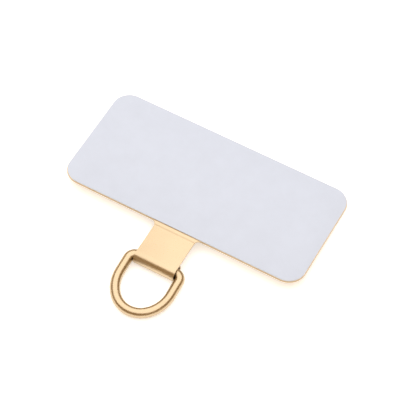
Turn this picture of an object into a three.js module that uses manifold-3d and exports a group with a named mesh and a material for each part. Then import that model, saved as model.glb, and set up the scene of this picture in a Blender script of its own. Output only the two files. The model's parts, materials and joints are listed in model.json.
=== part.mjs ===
// Phone lanyard patch: a plated spring-steel plate with a tab that is curled round the bar of a D-ring.
// Its upper face carries a film of adhesive under a paper release liner.
// Millimetres, +Z up. It lies as it comes to rest: on the plate's far edge, the knuckle and the ring's far end.
import * as THREE from "three";
import { mergeVertices } from "three/addons/utils/BufferGeometryUtils.js";
import Module from "manifold-3d";

// Plate
const PLATE_LENGTH = 64;
const PLATE_DEPTH = 30.3;
const PLATE_CORNER = 4.5;
const SHEET = 0.4;

// Tab and knuckle
const TAB_WIDTH = 10.8;
const TAB_LENGTH = 9.3; // from the plate's front edge to the bar's axis
const ROOT_FILLET = 1.3;
const STEP_DROP = 0.3; // the tab lies this much lower than the plate
const STEP_RUN = 0.7;
const STEP_START = 0.45; // from the plate's front edge to the first bend
const CURL_DEGREES = 297;

// Ring
const WIRE = 2.5;
const BAR_CLEARANCE = 0.35; // round the bar inside the knuckle
const SIDE_CLEARANCE = 0.15; // between each arm and the knuckle's end
const RING_BEND = 1.7; // bend radius of the two corners, at the wire's middle
const ARM_LENGTH = 5.5; // from the bar's axis to the start of the arch
const ARCH_REACH = 7.9; // from the end of the arms to the arch's far end, at the wire's middle

// Adhesive and liner
const FILM = 0.2;
const LINER = 0.1;
const LINER_MARGIN = 0.15; // bare metal left round the liner
const GLUE_LINE = 0.01; // clearance between stacked sheets

// How finely the curves are cut
const CORNER_STEPS = 5;
const CURL_STEPS = 30;
const WIRE_STEPS = 16;
const RING_STEPS = 132;

const barRadius = WIRE / 2;
const curlInner = barRadius + BAR_CLEARANCE;
const curlOuter = curlInner + SHEET;
const ringHalfWidth = TAB_WIDTH / 2 + SIDE_CLEARANCE + barRadius;

// The flat frame has its origin on the bar's axis, with the plate's upper face level.
const plateTop = STEP_DROP + curlOuter;
const frontEdge = TAB_LENGTH;
const farEdge = TAB_LENGTH + PLATE_DEPTH;

// The steel leans until its far lower edge is as low as the knuckle.
const reachToFarEdge = Math.hypot(farEdge, plateTop - SHEET);
const lean = Math.atan2(plateTop - SHEET, farEdge) + Math.asin(curlOuter / reachToFarEdge);

// The ring drops from its bar until its far end lies on the surface.
const ringReach = ARM_LENGTH + ARCH_REACH;
const ringDrop = Math.asin((curlOuter - barRadius) / ringReach);

const wasm = await Module();
wasm.setup();

function toSolid(geometry) {
  geometry.deleteAttribute("normal");
  geometry.deleteAttribute("uv");
  const merged = mergeVertices(geometry, 1e-5);
  return new wasm.Manifold(
    new wasm.Mesh({
      numProp: 3,
      vertProperties: new Float32Array(merged.attributes.position.array),
      triVerts: new Uint32Array(merged.index.array),
    })
  );
}

function toGeometry(solid) {
  const mesh = solid.getMesh();
  const geometry = new THREE.BufferGeometry();
  geometry.setAttribute("position", new THREE.BufferAttribute(mesh.vertProperties, 3));
  geometry.setIndex(new THREE.BufferAttribute(mesh.triVerts, 1));
  geometry.computeVertexNormals();
  return geometry;
}

// Middle line of the folded sheet, seen from the side: [across the plate, up], and its direction at each point
function sheetLine() {
  const line = [];
  const middle = plateTop - SHEET / 2;
  const tabMiddle = middle - STEP_DROP;
  const curlMiddle = (curlInner + curlOuter) / 2;
  line.push([farEdge, middle]);
  line.push([frontEdge - STEP_START, middle]);
  line.push([frontEdge - STEP_START - STEP_RUN, tabMiddle]);
  const turn = THREE.MathUtils.degToRad(CURL_DEGREES);
  for (let i = 0; i <= CURL_STEPS; i++) {
    const angle = Math.PI / 2 + (turn * i) / CURL_STEPS;
    line.push([curlMiddle * Math.cos(angle), curlMiddle * Math.sin(angle)]);
  }
  return line;
}

// One face of the sheet: the middle line moved sideways, with mitred corners
function offsetLine(line, distance) {
  return line.map(([y, z], i) => {
    const before = line[Math.max(i - 1, 0)];
    const after = line[Math.min(i + 1, line.length - 1)];
    const into = new THREE.Vector2(y - before[0], z - before[1]).normalize();
    const out = new THREE.Vector2(after[0] - y, after[1] - z).normalize();
    if (i === 0) into.copy(out);
    if (i === line.length - 1) out.copy(into);
    const along = into.clone().add(out).normalize();
    const mitre = distance / along.dot(into);
    return new THREE.Vector2(y - along.y * mitre, z + along.x * mitre);
  });
}

const STRIP_SPARE = 2; // the strip is cut a little longer than the plate, and the blank trims it

function foldedStrip() {
  const line = sheetLine();
  const outer = offsetLine(line, -SHEET / 2);
  const inner = offsetLine(line, SHEET / 2).reverse();
  const section = new THREE.Shape([...outer, ...inner]);
  const strip = new THREE.ExtrudeGeometry(section, { depth: PLATE_LENGTH + STRIP_SPARE, bevelEnabled: false });
  // The section is drawn as (y, z), so turn the extrusion to run along X.
  strip.translate(0, 0, -(PLATE_LENGTH + STRIP_SPARE) / 2);
  strip.applyMatrix4(new THREE.Matrix4().set(0, 0, 1, 0, 1, 0, 0, 0, 0, 1, 0, 0, 0, 0, 0, 1));
  return strip;
}

// The blank seen from above: the rounded plate and its tab, with a fillet each side of the root
function blankOutline() {
  const half = PLATE_LENGTH / 2;
  const tab = TAB_WIDTH / 2;
  const r = PLATE_CORNER;
  const f = ROOT_FILLET;
  const shape = new THREE.Shape();
  shape.moveTo(-tab, -curlOuter - 1);
  shape.lineTo(tab, -curlOuter - 1);
  shape.lineTo(tab, frontEdge - f);
  shape.absarc(tab + f, frontEdge - f, f, Math.PI, Math.PI / 2, true);
  shape.lineTo(half - r, frontEdge);
  shape.absarc(half - r, frontEdge + r, r, -Math.PI / 2, 0, false);
  shape.lineTo(half, farEdge - r);
  shape.absarc(half - r, farEdge - r, r, 0, Math.PI / 2, false);
  shape.lineTo(-half + r, farEdge);
  shape.absarc(-half + r, farEdge - r, r, Math.PI / 2, Math.PI, false);
  shape.lineTo(-half, frontEdge + r);
  shape.absarc(-half + r, frontEdge + r, r, Math.PI, 1.5 * Math.PI, false);
  shape.lineTo(-tab - f, frontEdge);
  shape.absarc(-tab - f, frontEdge - f, f, Math.PI / 2, 0, true);
  shape.closePath();
  return shape;
}

function steelGeometry() {
  const tall = 2 * (plateTop + curlOuter);
  const blank = new THREE.ExtrudeGeometry(blankOutline(), {
    depth: tall,
    bevelEnabled: false,
    curveSegments: CORNER_STEPS,
  });
  blank.translate(0, 0, -tall / 2);
  return toGeometry(toSolid(foldedStrip()).intersect(toSolid(blank)));
}

// A flat sheet with the plate's outline, set in by the margin, its underside at the given height
function insetSheet(thickness, underside) {
  const half = PLATE_LENGTH / 2 - LINER_MARGIN;
  const low = frontEdge + LINER_MARGIN;
  const high = farEdge - LINER_MARGIN;
  const r = PLATE_CORNER - LINER_MARGIN;
  const shape = new THREE.Shape();
  shape.absarc(half - r, low + r, r, -Math.PI / 2, 0, false);
  shape.absarc(half - r, high - r, r, 0, Math.PI / 2, false);
  shape.absarc(-half + r, high - r, r, Math.PI / 2, Math.PI, false);
  shape.absarc(-half + r, low + r, r, Math.PI, 1.5 * Math.PI, false);
  shape.closePath();
  const sheet = new THREE.ExtrudeGeometry(shape, {
    depth: thickness,
    bevelEnabled: false,
    curveSegments: CORNER_STEPS,
  });
  return sheet.translate(0, 0, underside);
}

// The ring's middle line in its own plane: a bar on the axis, two arms and a half-ellipse arch
function ringPath() {
  const path = new THREE.CurvePath();
  const corner = ringHalfWidth - RING_BEND;
  const at = (x, y) => new THREE.Vector3(x, y, 0);
  const arc = (x, y, rx, ry, from, to) => {
    const flat = new THREE.EllipseCurve(x, y, rx, ry, from, to, true);
    const curve = new THREE.Curve();
    curve.getPoint = (t) => {
      const p = flat.getPoint(t);
      return at(p.x, p.y);
    };
    return curve;
  };
  path.add(new THREE.LineCurve3(at(-corner, 0), at(corner, 0)));
  path.add(arc(corner, -RING_BEND, RING_BEND, RING_BEND, Math.PI / 2, 0));
  path.add(new THREE.LineCurve3(at(ringHalfWidth, -RING_BEND), at(ringHalfWidth, -ARM_LENGTH)));
  path.add(arc(0, -ARM_LENGTH, ringHalfWidth, ARCH_REACH, 0, -Math.PI));
  path.add(new THREE.LineCurve3(at(-ringHalfWidth, -ARM_LENGTH), at(-ringHalfWidth, -RING_BEND)));
  path.add(arc(-corner, -RING_BEND, RING_BEND, RING_BEND, Math.PI, Math.PI / 2));
  return path;
}

// The wire is welded to itself, so the tube closes on its own start.
function ringGeometry() {
  return new THREE.TubeGeometry(ringPath(), RING_STEPS, barRadius, WIRE_STEPS, true);
}

const goldSteel = { color: 0xd9b483, roughness: 0.3, metalness: 1 };

function mesh(name, geometry, finish) {
  const piece = new THREE.Mesh(geometry, new THREE.MeshStandardMaterial(finish));
  piece.name = name;
  return piece;
}

const filmUnderside = plateTop + GLUE_LINE;
const linerUnderside = filmUnderside + FILM + GLUE_LINE;

const leaning = new THREE.Group();
leaning.add(mesh("steel_patch", steelGeometry(), goldSteel));
leaning.add(
  mesh("adhesive_film", insetSheet(FILM, filmUnderside), { color: 0xe9e6dc, roughness: 0.5, metalness: 0 })
);
leaning.add(
  mesh("release_liner", insetSheet(LINER, linerUnderside), { color: 0xe1e4ed, roughness: 0.6, metalness: 0 })
);
leaning.rotation.x = -lean;

const ring = new THREE.Group();
ring.add(mesh("d_ring", ringGeometry(), goldSteel));
ring.rotation.x = ringDrop;

// Everything stands on z = 0, with the origin under the middle of its outline.
const backmost = farEdge * Math.cos(lean) + plateTop * Math.sin(lean);
const frontmost = -ringReach * Math.cos(ringDrop) - barRadius;
const patch = new THREE.Group();
patch.add(leaning, ring);
patch.position.set(0, -(backmost + frontmost) / 2, curlOuter);

export default patch;
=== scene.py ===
import json
import math

import bmesh
import bpy
from mathutils import Matrix, Vector


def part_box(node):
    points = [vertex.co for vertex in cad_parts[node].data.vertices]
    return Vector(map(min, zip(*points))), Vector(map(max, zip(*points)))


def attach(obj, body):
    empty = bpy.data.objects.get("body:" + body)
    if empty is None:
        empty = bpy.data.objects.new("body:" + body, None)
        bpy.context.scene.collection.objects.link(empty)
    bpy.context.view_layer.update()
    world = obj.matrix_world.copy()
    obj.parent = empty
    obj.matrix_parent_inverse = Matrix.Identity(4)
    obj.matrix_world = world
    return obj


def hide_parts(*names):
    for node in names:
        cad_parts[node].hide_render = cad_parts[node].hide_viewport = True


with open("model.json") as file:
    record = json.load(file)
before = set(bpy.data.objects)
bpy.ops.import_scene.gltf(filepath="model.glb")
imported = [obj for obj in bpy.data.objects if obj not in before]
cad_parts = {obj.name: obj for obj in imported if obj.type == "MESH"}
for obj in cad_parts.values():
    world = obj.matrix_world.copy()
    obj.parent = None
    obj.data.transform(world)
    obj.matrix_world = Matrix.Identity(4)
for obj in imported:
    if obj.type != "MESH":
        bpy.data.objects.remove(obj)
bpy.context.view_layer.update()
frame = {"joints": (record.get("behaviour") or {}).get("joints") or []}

bl_info = {
    "name": "Phone Lanyard Patch",
    "version": (1, 0, 0),
    "blender": (4, 5, 0),
    "location": "3D View > Sidebar > Lanyard Patch",
    "description": "Builds the finished pieces of a phone lanyard patch and a plain studio round it",
    "category": "Object",
}

MM = 0.001
BAR_AXIS = Vector(frame["joints"][0]["pos_m"])

# The steel stands on its knuckle, so the bar's axis is one knuckle radius above the surface.
KNUCKLE_RADIUS = BAR_AXIS.z
PLATE_LENGTH = (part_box("steel_patch")[1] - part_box("steel_patch")[0]).x
RING_SPAN = (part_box("d_ring")[1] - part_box("d_ring")[0]).x
LINER_LENGTH = (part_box("release_liner")[1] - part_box("release_liner")[0]).x
WIRE = 2.5 * MM

# How finely the curves are cut
CORNER_STEPS = 20
FILLET_STEPS = 12
FOLD_STEPS = 10
CURL_STEPS = 72
RING_STEPS = 28
WIRE_STEPS = 14

# Handle length, as a share of the radius, that makes a Bezier curve follow a quarter circle
ARC_PULL = 0.5523

# How much of a die-cut sheet's thickness its edge is rounded by
CUT_EDGE = 0.3

# Vertices nearer than this are one
WELD = 1e-7

# Edges that turn more than this are rounded
SHARP = math.radians(50)

# Edges that turn less than this many degrees are shaded smooth
STEEL_SMOOTH = 28
RING_SMOOTH = 60
SHEET_SMOOTH = 30

# Where the lights hang, in metres: across, back and, for the fill light, up
SOFTBOX_SPOT = (-0.12, 0.2)
FILL_SPOT = (-0.3, 0.25, 0.75)


def length(name, description, default):
    """A size in metres."""
    return bpy.props.FloatProperty(
        name=name, description=description, default=default, min=0.0, unit="LENGTH", precision=5
    )


def linear(code):
    """A colour written as sRGB hex, turned to linear light."""
    channels = [int(code[i:i + 2], 16) / 255 for i in (1, 3, 5)]
    return [c / 12.92 if c <= 0.04045 else ((c + 0.055) / 1.055) ** 2.4 for c in channels]


def colour(name, description, code):
    """A colour, given as sRGB hex."""
    return bpy.props.FloatVectorProperty(
        name=name, description=description, default=linear(code), size=3, min=0.0, max=1.0, subtype="COLOR"
    )


def angle(name, description, degrees):
    return bpy.props.FloatProperty(
        name=name, description=description, default=math.radians(degrees), subtype="ANGLE"
    )


def strength(name, description, default):
    """A light's brightness, where 1 shows as white."""
    return bpy.props.FloatProperty(name=name, description=description, default=default, min=0.0)


class SteelSizes(bpy.types.PropertyGroup):
    plate_length: length("Plate length", "Long side of the plate", PLATE_LENGTH)
    plate_depth: length("Plate depth", "Short side of the plate", 30.3 * MM)
    plate_corner: length("Plate corner", "Radius of the plate's corners", 4.5 * MM)
    sheet: length("Sheet", "Thickness of the steel sheet", 0.4 * MM)
    tab_width: length("Tab width", "Width of the tab and its knuckle", 10.8 * MM)
    tab_length: length("Tab length", "From the plate's front edge to the bar's axis", 9.3 * MM)
    root_fillet: length("Root fillet", "Radius each side of the tab's root", 1.3 * MM)
    step_drop: length("Step drop", "How much lower the tab lies than the plate", 0.3 * MM)
    step_run: length("Step run", "Length of the step along the tab", 0.7 * MM)
    step_start: length("Step start", "From the plate's front edge to the step", 0.45 * MM)
    curl: angle("Curl", "How far the tab turns round the bar", 297)
    edge_round: length("Edge rounding", "Radius left on the sheet's edges by tumbling", 0.09 * MM)
    gold: colour("Gold", "Colour of the satin gold plating", "#C5B498")


class RingSizes(bpy.types.PropertyGroup):
    wire: length("Wire", "Diameter of the ring's wire", WIRE)
    half_width: length("Half width", "From the middle to each arm's middle line", (RING_SPAN - WIRE) / 2)
    bend: length("Corner bend", "Bend radius of the two corners", 1.7 * MM)
    arm: length("Arm", "From the bar's axis to the start of the arch", 5.5 * MM)
    arch: length("Arch", "From the end of the arms to the arch's far end", 7.9 * MM)
    gold: colour("Gold", "Colour of the gold plating", "#C5B498")


class FilmSizes(bpy.types.PropertyGroup):
    margin: length("Margin", "Bare metal left round the liner", (PLATE_LENGTH - LINER_LENGTH) / 2)
    film: length("Film", "Thickness of the adhesive film", 0.2 * MM)
    liner: length("Liner", "Thickness of the paper liner", 0.1 * MM)
    glue_line: length("Glue line", "Clearance between stacked sheets", 0.01 * MM)
    paper: colour("Paper", "Colour of the coated release paper", "#C4D1E7")
    adhesive: colour("Adhesive", "Colour of the adhesive film", "#E9E4D6")


class StudioSizes(bpy.types.PropertyGroup):
    azimuth: angle("Azimuth", "Camera's turn round the part", 28.72)
    elevation: angle("Elevation", "Camera's height above the horizon", 59.69)
    distance: length("Distance", "From the camera to the point it looks at", 457.15 * MM)
    aim: bpy.props.FloatVectorProperty(
        name="Aim", description="Point on the floor at the picture's centre",
        default=(-0.048 * MM, 8.708 * MM, 0), size=3, subtype="TRANSLATION"
    )
    lens: bpy.props.FloatProperty(name="Lens", description="Focal length in millimetres", default=171.0)
    softbox: length("Softbox", "Side of the overhead softbox", 1.3)
    softbox_height: length("Softbox height", "Height of the softbox above the floor", 0.62)
    softbox_strength: strength("Softbox strength", "Brightness of the softbox", 1.51)
    fill: length("Fill light", "Side of the fill light", 0.8)
    fill_strength: strength("Fill strength", "Brightness of the fill light", 0.3)
    floor: length("Floor", "Side of the pale floor", 6.0)
    floor_glow: strength("Floor glow", "The floor's own light, which keeps it white", 0.42)
    air: colour("Air", "Colour of the studio's surroundings", "#AD8F68")
    air_strength: strength("Air strength", "Brightness of the studio's surroundings", 1.15)


# Small helpers for building in edit mode

def start_empty_selection():
    """Leaves edit mode and deselects everything, the frame's own solids too."""
    if bpy.context.mode != "OBJECT":
        bpy.ops.object.mode_set(mode="OBJECT")
    bpy.ops.object.select_all(action="DESELECT")


def pick(obj, kind, test):
    """Selects the vertices, edges or faces of the edited mesh that pass the test."""
    bpy.ops.mesh.select_mode(type=kind)
    bpy.ops.mesh.select_all(action="DESELECT")
    mesh = bmesh.from_edit_mesh(obj.data)
    elements = {"VERT": mesh.verts, "EDGE": mesh.edges, "FACE": mesh.faces}[kind]
    for element in elements:
        if test(element):
            element.select_set(True)
    mesh.select_flush_mode()
    bmesh.update_edit_mesh(obj.data)


def make_only_selected(obj):
    start_empty_selection()
    obj.select_set(True)
    bpy.context.view_layer.objects.active = obj


def middle(edge):
    return (edge.verts[0].co + edge.verts[1].co) / 2


def near(a, b, slack=1e-6):
    return abs(a - b) < slack


def flat_blank(name, half_length, low, high):
    """A plane with the given half length, lying between two lines across Y, left in edit mode."""
    start_empty_selection()
    bpy.ops.mesh.primitive_plane_add(size=1)
    blank = bpy.context.active_object
    blank.name = name
    blank.data.name = name
    bpy.ops.object.mode_set(mode="EDIT")
    bpy.ops.mesh.select_all(action="SELECT")
    bpy.ops.transform.resize(value=(2 * half_length, high - low, 1))
    bpy.ops.transform.translate(value=(0, (low + high) / 2, 0))
    return blank


def round_corners(blank, test, radius, steps):
    """Rounds the square corners of a flat outline that pass the test."""
    pick(blank, "VERT", test)
    bpy.ops.mesh.bevel(
        offset=radius, segments=steps, affect="VERTICES", offset_type="OFFSET", clamp_overlap=False
    )


def close_and_face_out(obj):
    """Merges doubled vertices and turns every face outwards."""
    make_only_selected(obj)
    bpy.ops.object.mode_set(mode="EDIT")
    bpy.ops.mesh.select_all(action="SELECT")
    bpy.ops.mesh.remove_doubles(threshold=WELD)
    bpy.ops.mesh.normals_make_consistent(inside=False)
    bpy.ops.object.mode_set(mode="OBJECT")


def add_modifier(obj, kind, **settings):
    """Adds a modifier with its settings and applies it."""
    modifier = obj.modifiers.new(kind.title(), kind)
    for setting, value in settings.items():
        setattr(modifier, setting, value)
    bpy.context.view_layer.objects.active = obj
    bpy.ops.object.modifier_apply(modifier=modifier.name)


def place(obj, turn):
    """Turns a piece built round the bar's axis, and puts its place into its mesh."""
    obj.data.transform(Matrix.Translation(BAR_AXIS) @ Matrix.Rotation(turn, 4, "X"))
    obj.data.update()


def smooth(obj, degrees):
    make_only_selected(obj)
    bpy.ops.object.shade_smooth_by_angle(angle=math.radians(degrees))


def steel_lean(s):
    """The steel leans until its far lower edge is as low as the knuckle."""
    far = s.tab_length + s.plate_depth
    underside = KNUCKLE_RADIUS + s.step_drop - s.sheet
    return math.atan2(underside, far) + math.asin(KNUCKLE_RADIUS / math.hypot(far, underside))


# Materials

def new_material(name):
    material = bpy.data.materials.new(name)
    material.use_nodes = True
    shader = material.node_tree.nodes["Principled BSDF"]
    return material, shader


def add_node(material, kind, settings=None, inputs=None):
    """Adds a node, sets its properties, and fills or links its inputs."""
    tree = material.node_tree
    node = tree.nodes.new(kind)
    for setting, value in (settings or {}).items():
        setattr(node, setting, value)
    for socket, value in (inputs or {}).items():
        if isinstance(value, bpy.types.NodeSocket):
            tree.links.new(value, node.inputs[socket])
        else:
            node.inputs[socket].default_value = value
    return node


def link(material, output, target):
    material.node_tree.links.new(output, target)


def per_mm(size):
    """Texture scale that gives features of this size in millimetres, on coordinates in metres."""
    return 1 / (size * MM)


def shade(rgb, factor):
    """The same colour, lighter or darker, with its alpha."""
    return [min(c * factor, 1.0) for c in rgb] + [1.0]


def satin_gold_steel(s):
    """Spring steel, barrel polished and plated with pale gold: soft broad highlights with a faint grain."""
    material, shader = new_material("satin_gold_plated_steel")
    place_on = add_node(material, "ShaderNodeTexCoord")
    # Barrel polishing leaves fine crossing scratches, drawn here as 0.35 mm grain so that it shows.
    grain = add_node(material, "ShaderNodeTexNoise", inputs={
        "Vector": place_on.outputs["Object"], "Scale": per_mm(0.35), "Detail": 4.0, "Roughness": 0.6})
    # Plating thickness drifts over about a centimetre, which warms and cools the gold slightly.
    drift = add_node(material, "ShaderNodeTexNoise", inputs={
        "Vector": place_on.outputs["Object"], "Scale": per_mm(11), "Detail": 2.0})
    tint = add_node(material, "ShaderNodeValToRGB", inputs={"Fac": drift.outputs["Fac"]})
    tint.color_ramp.elements[0].position = 0.35
    tint.color_ramp.elements[0].color = shade(s.gold, 0.95)
    tint.color_ramp.elements[1].position = 0.65
    tint.color_ramp.elements[1].color = shade(s.gold, 1.03)
    haze = add_node(material, "ShaderNodeMapRange", inputs={
        "Value": grain.outputs["Fac"], "From Min": 0.3, "From Max": 0.7, "To Min": 0.26, "To Max": 0.34})
    bump = add_node(material, "ShaderNodeBump", inputs={
        "Height": grain.outputs["Fac"], "Strength": 0.12, "Distance": 0.01 * MM})
    link(material, tint.outputs["Color"], shader.inputs["Base Color"])
    link(material, haze.outputs["Result"], shader.inputs["Roughness"])
    link(material, bump.outputs["Normal"], shader.inputs["Normal"])
    shader.inputs["Metallic"].default_value = 1.0
    return material


def bright_gold_wire(s):
    """Steel wire plated with satin gold: soft highlights along the wire, with faint handling marks."""
    material, shader = new_material("bright_gold_plated_wire")
    place_on = add_node(material, "ShaderNodeTexCoord")
    # Handling marks are drawn about 0.5 mm across.
    marks = add_node(material, "ShaderNodeTexNoise", inputs={
        "Vector": place_on.outputs["Object"], "Scale": per_mm(0.5), "Detail": 5.0, "Roughness": 0.65})
    tint = add_node(material, "ShaderNodeValToRGB", inputs={"Fac": marks.outputs["Fac"]})
    tint.color_ramp.elements[0].position = 0.3
    tint.color_ramp.elements[0].color = shade(s.gold, 0.93)
    tint.color_ramp.elements[1].position = 0.7
    tint.color_ramp.elements[1].color = shade(s.gold, 1.03)
    haze = add_node(material, "ShaderNodeMapRange", inputs={
        "Value": marks.outputs["Fac"], "From Min": 0.3, "From Max": 0.7, "To Min": 0.24, "To Max": 0.32})
    bump = add_node(material, "ShaderNodeBump", inputs={
        "Height": marks.outputs["Fac"], "Strength": 0.08, "Distance": 0.01 * MM})
    link(material, tint.outputs["Color"], shader.inputs["Base Color"])
    link(material, haze.outputs["Result"], shader.inputs["Roughness"])
    link(material, bump.outputs["Normal"], shader.inputs["Normal"])
    shader.inputs["Metallic"].default_value = 1.0
    return material


def release_paper(s):
    """Glassine release paper: matte and slightly blue, with a soft cloudy fibre look."""
    material, shader = new_material("glassine_release_paper")
    place_on = add_node(material, "ShaderNodeTexCoord")
    # Paper clouds, a few millimetres across, from the way the fibres settle.
    clouds = add_node(material, "ShaderNodeTexNoise", inputs={
        "Vector": place_on.outputs["Object"], "Scale": per_mm(4), "Detail": 5.0, "Roughness": 0.6})
    # Fibres are about 0.03 mm thick and are drawn at 0.4 mm so that the tooth of the paper shows.
    fibres = add_node(material, "ShaderNodeTexNoise", inputs={
        "Vector": place_on.outputs["Object"], "Scale": per_mm(0.4), "Detail": 6.0, "Roughness": 0.7})
    tint = add_node(material, "ShaderNodeValToRGB", inputs={"Fac": clouds.outputs["Fac"]})
    tint.color_ramp.elements[0].position = 0.3
    tint.color_ramp.elements[0].color = shade(s.paper, 0.975)
    tint.color_ramp.elements[1].position = 0.7
    tint.color_ramp.elements[1].color = shade(s.paper, 1.01)
    haze = add_node(material, "ShaderNodeMapRange", inputs={
        "Value": fibres.outputs["Fac"], "From Min": 0.3, "From Max": 0.7, "To Min": 0.55, "To Max": 0.68})
    bump = add_node(material, "ShaderNodeBump", inputs={
        "Height": fibres.outputs["Fac"], "Strength": 0.15, "Distance": 0.01 * MM})
    link(material, tint.outputs["Color"], shader.inputs["Base Color"])
    link(material, haze.outputs["Result"], shader.inputs["Roughness"])
    link(material, bump.outputs["Normal"], shader.inputs["Normal"])
    shader.inputs["Specular IOR Level"].default_value = 0.3
    return material


def acrylic_adhesive(s):
    """Acrylic foam adhesive: milky and a little shiny at its cut edge."""
    material, shader = new_material("acrylic_foam_adhesive")
    place_on = add_node(material, "ShaderNodeTexCoord")
    # Foam cells are about 0.1 mm across and are drawn at 0.2 mm so that they show.
    cells = add_node(material, "ShaderNodeTexNoise", inputs={
        "Vector": place_on.outputs["Object"], "Scale": per_mm(0.2), "Detail": 3.0})
    tint = add_node(material, "ShaderNodeValToRGB", inputs={"Fac": cells.outputs["Fac"]})
    tint.color_ramp.elements[0].color = shade(s.adhesive, 0.93)
    tint.color_ramp.elements[1].color = shade(s.adhesive, 1.02)
    link(material, tint.outputs["Color"], shader.inputs["Base Color"])
    shader.inputs["Roughness"].default_value = 0.4
    return material


# The pieces

def build_steel(s):
    """One sheet: blanked, stepped at the tab's root, and its end curled round the bar's axis."""
    half = s.plate_length / 2
    tab = s.tab_width / 2
    front = s.tab_length
    far = front + s.plate_depth
    curl_middle = KNUCKLE_RADIUS - s.sheet / 2
    blank = flat_blank("steel_patch_finish", half, front, far)
    # Two new vertices on the front edge mark the tab, which is then drawn out to the curl's start.
    pick(blank, "EDGE", lambda e: near(middle(e).y, front) and abs(middle(e).x) < tab)
    bpy.ops.mesh.subdivide(number_cuts=2)
    for side in (-1, 1):
        pick(blank, "VERT", lambda v: near(v.co.y, front) and 0 < v.co.x * side < half - s.plate_corner)
        found = next(v.co.x for v in bmesh.from_edit_mesh(blank.data).verts if v.select)
        bpy.ops.transform.translate(value=(side * tab - found, 0, 0))
    pick(blank, "EDGE", lambda e: near(middle(e).y, front) and near(middle(e).x, 0))
    bpy.ops.mesh.extrude_edges_move(TRANSFORM_OT_translate={"value": (0, -front, 0)})
    pick(blank, "EDGE", lambda e: near(middle(e).y, front) and near(middle(e).x, 0))
    bpy.ops.mesh.dissolve_edges(use_verts=False)
    round_corners(blank, lambda v: near(abs(v.co.x), half), s.plate_corner, CORNER_STEPS)
    round_corners(
        blank, lambda v: near(abs(v.co.x), tab) and near(v.co.y, front), s.root_fillet, FILLET_STEPS
    )
    # Fold lines across the tab, and the small step down between them
    step_start = front - s.step_start
    for i in range(FOLD_STEPS + 1):
        line = step_start - s.step_run * i / FOLD_STEPS
        bpy.ops.mesh.select_all(action="SELECT")
        bpy.ops.mesh.bisect(plane_co=(0, line, 0), plane_no=(0, 1, 0))
    turn = math.pi / FOLD_STEPS
    for i in range(FOLD_STEPS):
        line = step_start - s.step_run * i / FOLD_STEPS
        share = (math.cos(turn * i) - math.cos(turn * (i + 1))) / 2
        pick(blank, "VERT", lambda v: v.co.y < line - WELD)
        bpy.ops.transform.translate(value=(0, 0, -s.step_drop * share))
    bpy.ops.mesh.select_all(action="SELECT")
    bpy.ops.transform.translate(value=(0, 0, curl_middle + s.step_drop))
    # The tab's end turns round the bar.
    pick(blank, "EDGE", lambda e: near(middle(e).y, 0))
    bpy.ops.mesh.spin(steps=CURL_STEPS, angle=-s.curl, center=(0, 0, 0), axis=(1, 0, 0))
    bpy.ops.mesh.select_all(action="SELECT")
    bpy.ops.mesh.remove_doubles(threshold=WELD)
    bpy.ops.mesh.normals_make_consistent(inside=False)
    bpy.ops.object.mode_set(mode="OBJECT")
    add_modifier(blank, "SOLIDIFY", thickness=s.sheet, offset=0.0, use_even_offset=True)
    add_modifier(
        blank, "BEVEL", width=s.edge_round, segments=3, limit_method="ANGLE",
        angle_limit=SHARP, use_clamp_overlap=True
    )
    add_modifier(blank, "TRIANGULATE", min_vertices=5)
    close_and_face_out(blank)
    place(blank, -steel_lean(s))
    smooth(blank, STEEL_SMOOTH)
    return blank


def build_ring(s):
    """One wire bent to a D: a bar, two corners, two arms and a half-ellipse arch, welded on the bar."""
    start_empty_selection()
    bpy.ops.curve.primitive_bezier_circle_add(radius=s.half_width)
    ring = bpy.context.active_object
    ring.name = "d_ring_finish"
    bpy.ops.object.mode_set(mode="EDIT")
    bpy.ops.curve.select_all(action="SELECT")
    bpy.ops.curve.subdivide(number_cuts=1)
    bpy.ops.object.mode_set(mode="OBJECT")
    spline = ring.data.splines[0]
    w, b, arm, end = s.half_width, s.bend, s.arm, s.arm + s.arch
    pull = ARC_PULL
    # Each point: its place, then how far its handles reach back and forward along the wire.
    points = [
        ((w - b, 0), (-b, 0), (pull * b, 0)),
        ((w, -b), (0, pull * b), (0, -b)),
        ((w, -arm), (0, (arm - b) / 3), (0, -pull * s.arch)),
        ((0, -end), (pull * w, 0), (-pull * w, 0)),
        ((-w, -arm), (0, -pull * s.arch), (0, (arm - b) / 3)),
        ((-w, -b), (0, -b), (0, pull * b)),
        ((-w + b, 0), (-pull * b, 0), (b, 0)),
        ((0, 0), (-(w - b) / 3, 0), ((w - b) / 3, 0)),
    ]
    for point, (spot, back, forward) in zip(spline.bezier_points, points):
        point.handle_left_type = "FREE"
        point.handle_right_type = "FREE"
        point.co = (spot[0], spot[1], 0)
        point.handle_left = (spot[0] + back[0], spot[1] + back[1], 0)
        point.handle_right = (spot[0] + forward[0], spot[1] + forward[1], 0)
    ring.data.resolution_u = RING_STEPS
    ring.data.bevel_depth = s.wire / 2
    ring.data.bevel_resolution = WIRE_STEPS
    bpy.ops.object.convert(target="MESH")
    ring = bpy.context.active_object
    ring.data.name = "d_ring_finish"
    close_and_face_out(ring)
    drop = math.asin((BAR_AXIS.z - s.wire / 2) / end)
    place(ring, drop)
    smooth(ring, RING_SMOOTH)
    return ring


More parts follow.
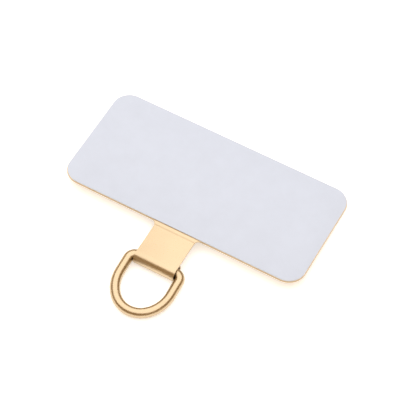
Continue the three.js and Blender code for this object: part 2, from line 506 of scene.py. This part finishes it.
def build_sheet(name, film, steel, thickness, underside):
    """A flat sheet with the plate's outline, set in by the margin."""
    low = steel.tab_length + film.margin
    high = steel.tab_length + steel.plate_depth - film.margin
    half = steel.plate_length / 2 - film.margin
    sheet = flat_blank(name, half, low, high)
    round_corners(sheet, lambda v: True, steel.plate_corner - film.margin, CORNER_STEPS)
    bpy.ops.mesh.select_all(action="SELECT")
    bpy.ops.transform.translate(value=(0, 0, underside))
    bpy.ops.mesh.extrude_region_move(TRANSFORM_OT_translate={"value": (0, 0, thickness)})
    bpy.ops.object.mode_set(mode="OBJECT")
    close_and_face_out(sheet)
    add_modifier(
        sheet, "BEVEL", width=thickness * CUT_EDGE, segments=2, limit_method="ANGLE", angle_limit=SHARP
    )
    add_modifier(sheet, "TRIANGULATE", min_vertices=5)
    place(sheet, -steel_lean(steel))
    smooth(sheet, SHEET_SMOOTH)
    return sheet


def finish_piece(obj, material, node, body):
    """Gives a piece its material, and lets it stand for its CAD node on that body."""
    obj.data.materials.clear()
    obj.data.materials.append(material)
    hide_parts(node)
    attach(obj, body)


class LANYARD_OT_steel(bpy.types.Operator):
    """Build the plate, its tab and the knuckle"""
    bl_idname = "lanyard.steel"
    bl_label = "Steel patch"

    def execute(self, context):
        sizes = context.scene.lanyard_steel
        finish_piece(build_steel(sizes), satin_gold_steel(sizes), "steel_patch", "patch")
        return {"FINISHED"}


class LANYARD_OT_ring(bpy.types.Operator):
    """Build the D-ring"""
    bl_idname = "lanyard.ring"
    bl_label = "D-ring"

    def execute(self, context):
        sizes = context.scene.lanyard_ring
        finish_piece(build_ring(sizes), bright_gold_wire(sizes), "d_ring", "ring")
        return {"FINISHED"}


class LANYARD_OT_film(bpy.types.Operator):
    """Build the adhesive film and the release liner on it"""
    bl_idname = "lanyard.film"
    bl_label = "Film and liner"

    def execute(self, context):
        steel = context.scene.lanyard_steel
        film = context.scene.lanyard_film
        plate_top = KNUCKLE_RADIUS + steel.step_drop
        film_under = plate_top + film.glue_line
        liner_under = film_under + film.film + film.glue_line
        sheet = build_sheet("adhesive_film_finish", film, steel, film.film, film_under)
        finish_piece(sheet, acrylic_adhesive(film), "adhesive_film", "patch")
        sheet = build_sheet("release_liner_finish", film, steel, film.liner, liner_under)
        finish_piece(sheet, release_paper(film), "release_liner", "patch")
        return {"FINISHED"}


def add_softbox(name, side, spot, target, brightness, in_reflections):
    """A square light that faces its target and looks as bright as a surface of that brightness."""
    light = bpy.data.lights.new(name, "AREA")
    light.shape = "SQUARE"
    light.size = side
    # An area light of radiance R gives out R times pi times its area, in watts.
    light.energy = brightness * math.pi * side * side
    lamp = bpy.data.objects.new(name, light)
    bpy.context.collection.objects.link(lamp)
    lamp.location = spot
    lamp.rotation_mode = "QUATERNION"
    lamp.rotation_quaternion = (Vector(target) - Vector(spot)).to_track_quat("-Z", "Y")
    lamp.visible_glossy = in_reflections


class LANYARD_OT_studio(bpy.types.Operator):
    """Build the pale floor, the soft studio light and the camera"""
    bl_idname = "lanyard.studio"
    bl_label = "Studio"

    def execute(self, context):
        s = context.scene.lanyard_studio
        start_empty_selection()
        bpy.ops.mesh.primitive_plane_add(size=s.floor, location=(0, 0, 0))
        floor = context.active_object
        floor.name = "pale_floor"
        material, shader = new_material("matte_white_paint")
        shader.inputs["Base Color"].default_value = (0.93, 0.93, 0.93, 1)
        shader.inputs["Roughness"].default_value = 0.9
        shader.inputs["Specular IOR Level"].default_value = 0.1
        shader.inputs["Emission Color"].default_value = (1, 1, 1, 1)
        shader.inputs["Emission Strength"].default_value = s.floor_glow
        floor.data.materials.append(material)
        # The softbox hangs a little behind and to the left, so that the front of each bend stays dark.
        above = (*SOFTBOX_SPOT, s.softbox_height)
        below = (*SOFTBOX_SPOT, 0)
        add_softbox("overhead_softbox", s.softbox, above, below, s.softbox_strength, True)
        # The fill light only lifts the paper and the floor, and isn't seen in the metal.
        add_softbox("fill_light", s.fill, FILL_SPOT, (0, 0, 0), s.fill_strength, False)
        world = context.scene.world or bpy.data.worlds.new("studio_air")
        context.scene.world = world
        world.use_nodes = True
        air = world.node_tree.nodes["Background"]
        air.inputs["Color"].default_value = (*s.air, 1)
        air.inputs["Strength"].default_value = s.air_strength
        context.scene.view_settings.view_transform = "Standard"
        context.scene.view_settings.look = "None"
        camera = bpy.data.cameras.new("camera")
        camera.lens = s.lens
        camera.sensor_width = 36
        eye = bpy.data.objects.new("camera", camera)
        context.collection.objects.link(eye)
        level = math.cos(s.elevation)
        back = Vector((math.sin(s.azimuth) * level, -math.cos(s.azimuth) * level, math.sin(s.elevation)))
        eye.location = Vector(s.aim) + back * s.distance
        eye.rotation_mode = "QUATERNION"
        eye.rotation_quaternion = (-back).to_track_quat("-Z", "Y")
        camera.clip_start = 0.01
        camera.clip_end = 20
        context.scene.camera = eye
        return {"FINISHED"}


class LANYARD_PT_panel(bpy.types.Panel):
    """Lists each operator with the sizes and colours that it uses"""
    bl_label = "Lanyard Patch"
    bl_idname = "LANYARD_PT_panel"
    bl_space_type = "VIEW_3D"
    bl_region_type = "UI"
    bl_category = "Lanyard Patch"

    def draw(self, context):
        for title, operator, group in ROWS:
            box = self.layout.box()
            box.operator(operator, text=title)
            sizes = getattr(context.scene, group)
            for name in sizes.__annotations__:
                box.prop(sizes, name)


ROWS = (
    ("Studio", "lanyard.studio", "lanyard_studio"),
    ("Steel patch", "lanyard.steel", "lanyard_steel"),
    ("D-ring", "lanyard.ring", "lanyard_ring"),
    ("Film and liner", "lanyard.film", "lanyard_film"),
)
GROUPS = {
    "lanyard_steel": SteelSizes,
    "lanyard_ring": RingSizes,
    "lanyard_film": FilmSizes,
    "lanyard_studio": StudioSizes,
}
CLASSES = (
    *GROUPS.values(),
    LANYARD_OT_steel,
    LANYARD_OT_ring,
    LANYARD_OT_film,
    LANYARD_OT_studio,
    LANYARD_PT_panel,
)


def register():
    for cls in CLASSES:
        bpy.utils.register_class(cls)
    for name, group in GROUPS.items():
        setattr(bpy.types.Scene, name, bpy.props.PointerProperty(type=group))


def unregister():
    for name in GROUPS:
        delattr(bpy.types.Scene, name)
    for cls in reversed(CLASSES):
        bpy.utils.unregister_class(cls)


def main():
    register()
    bpy.ops.lanyard.studio()
    bpy.ops.lanyard.steel()
    bpy.ops.lanyard.ring()
    bpy.ops.lanyard.film()


if __name__ == "__main__":
    main()
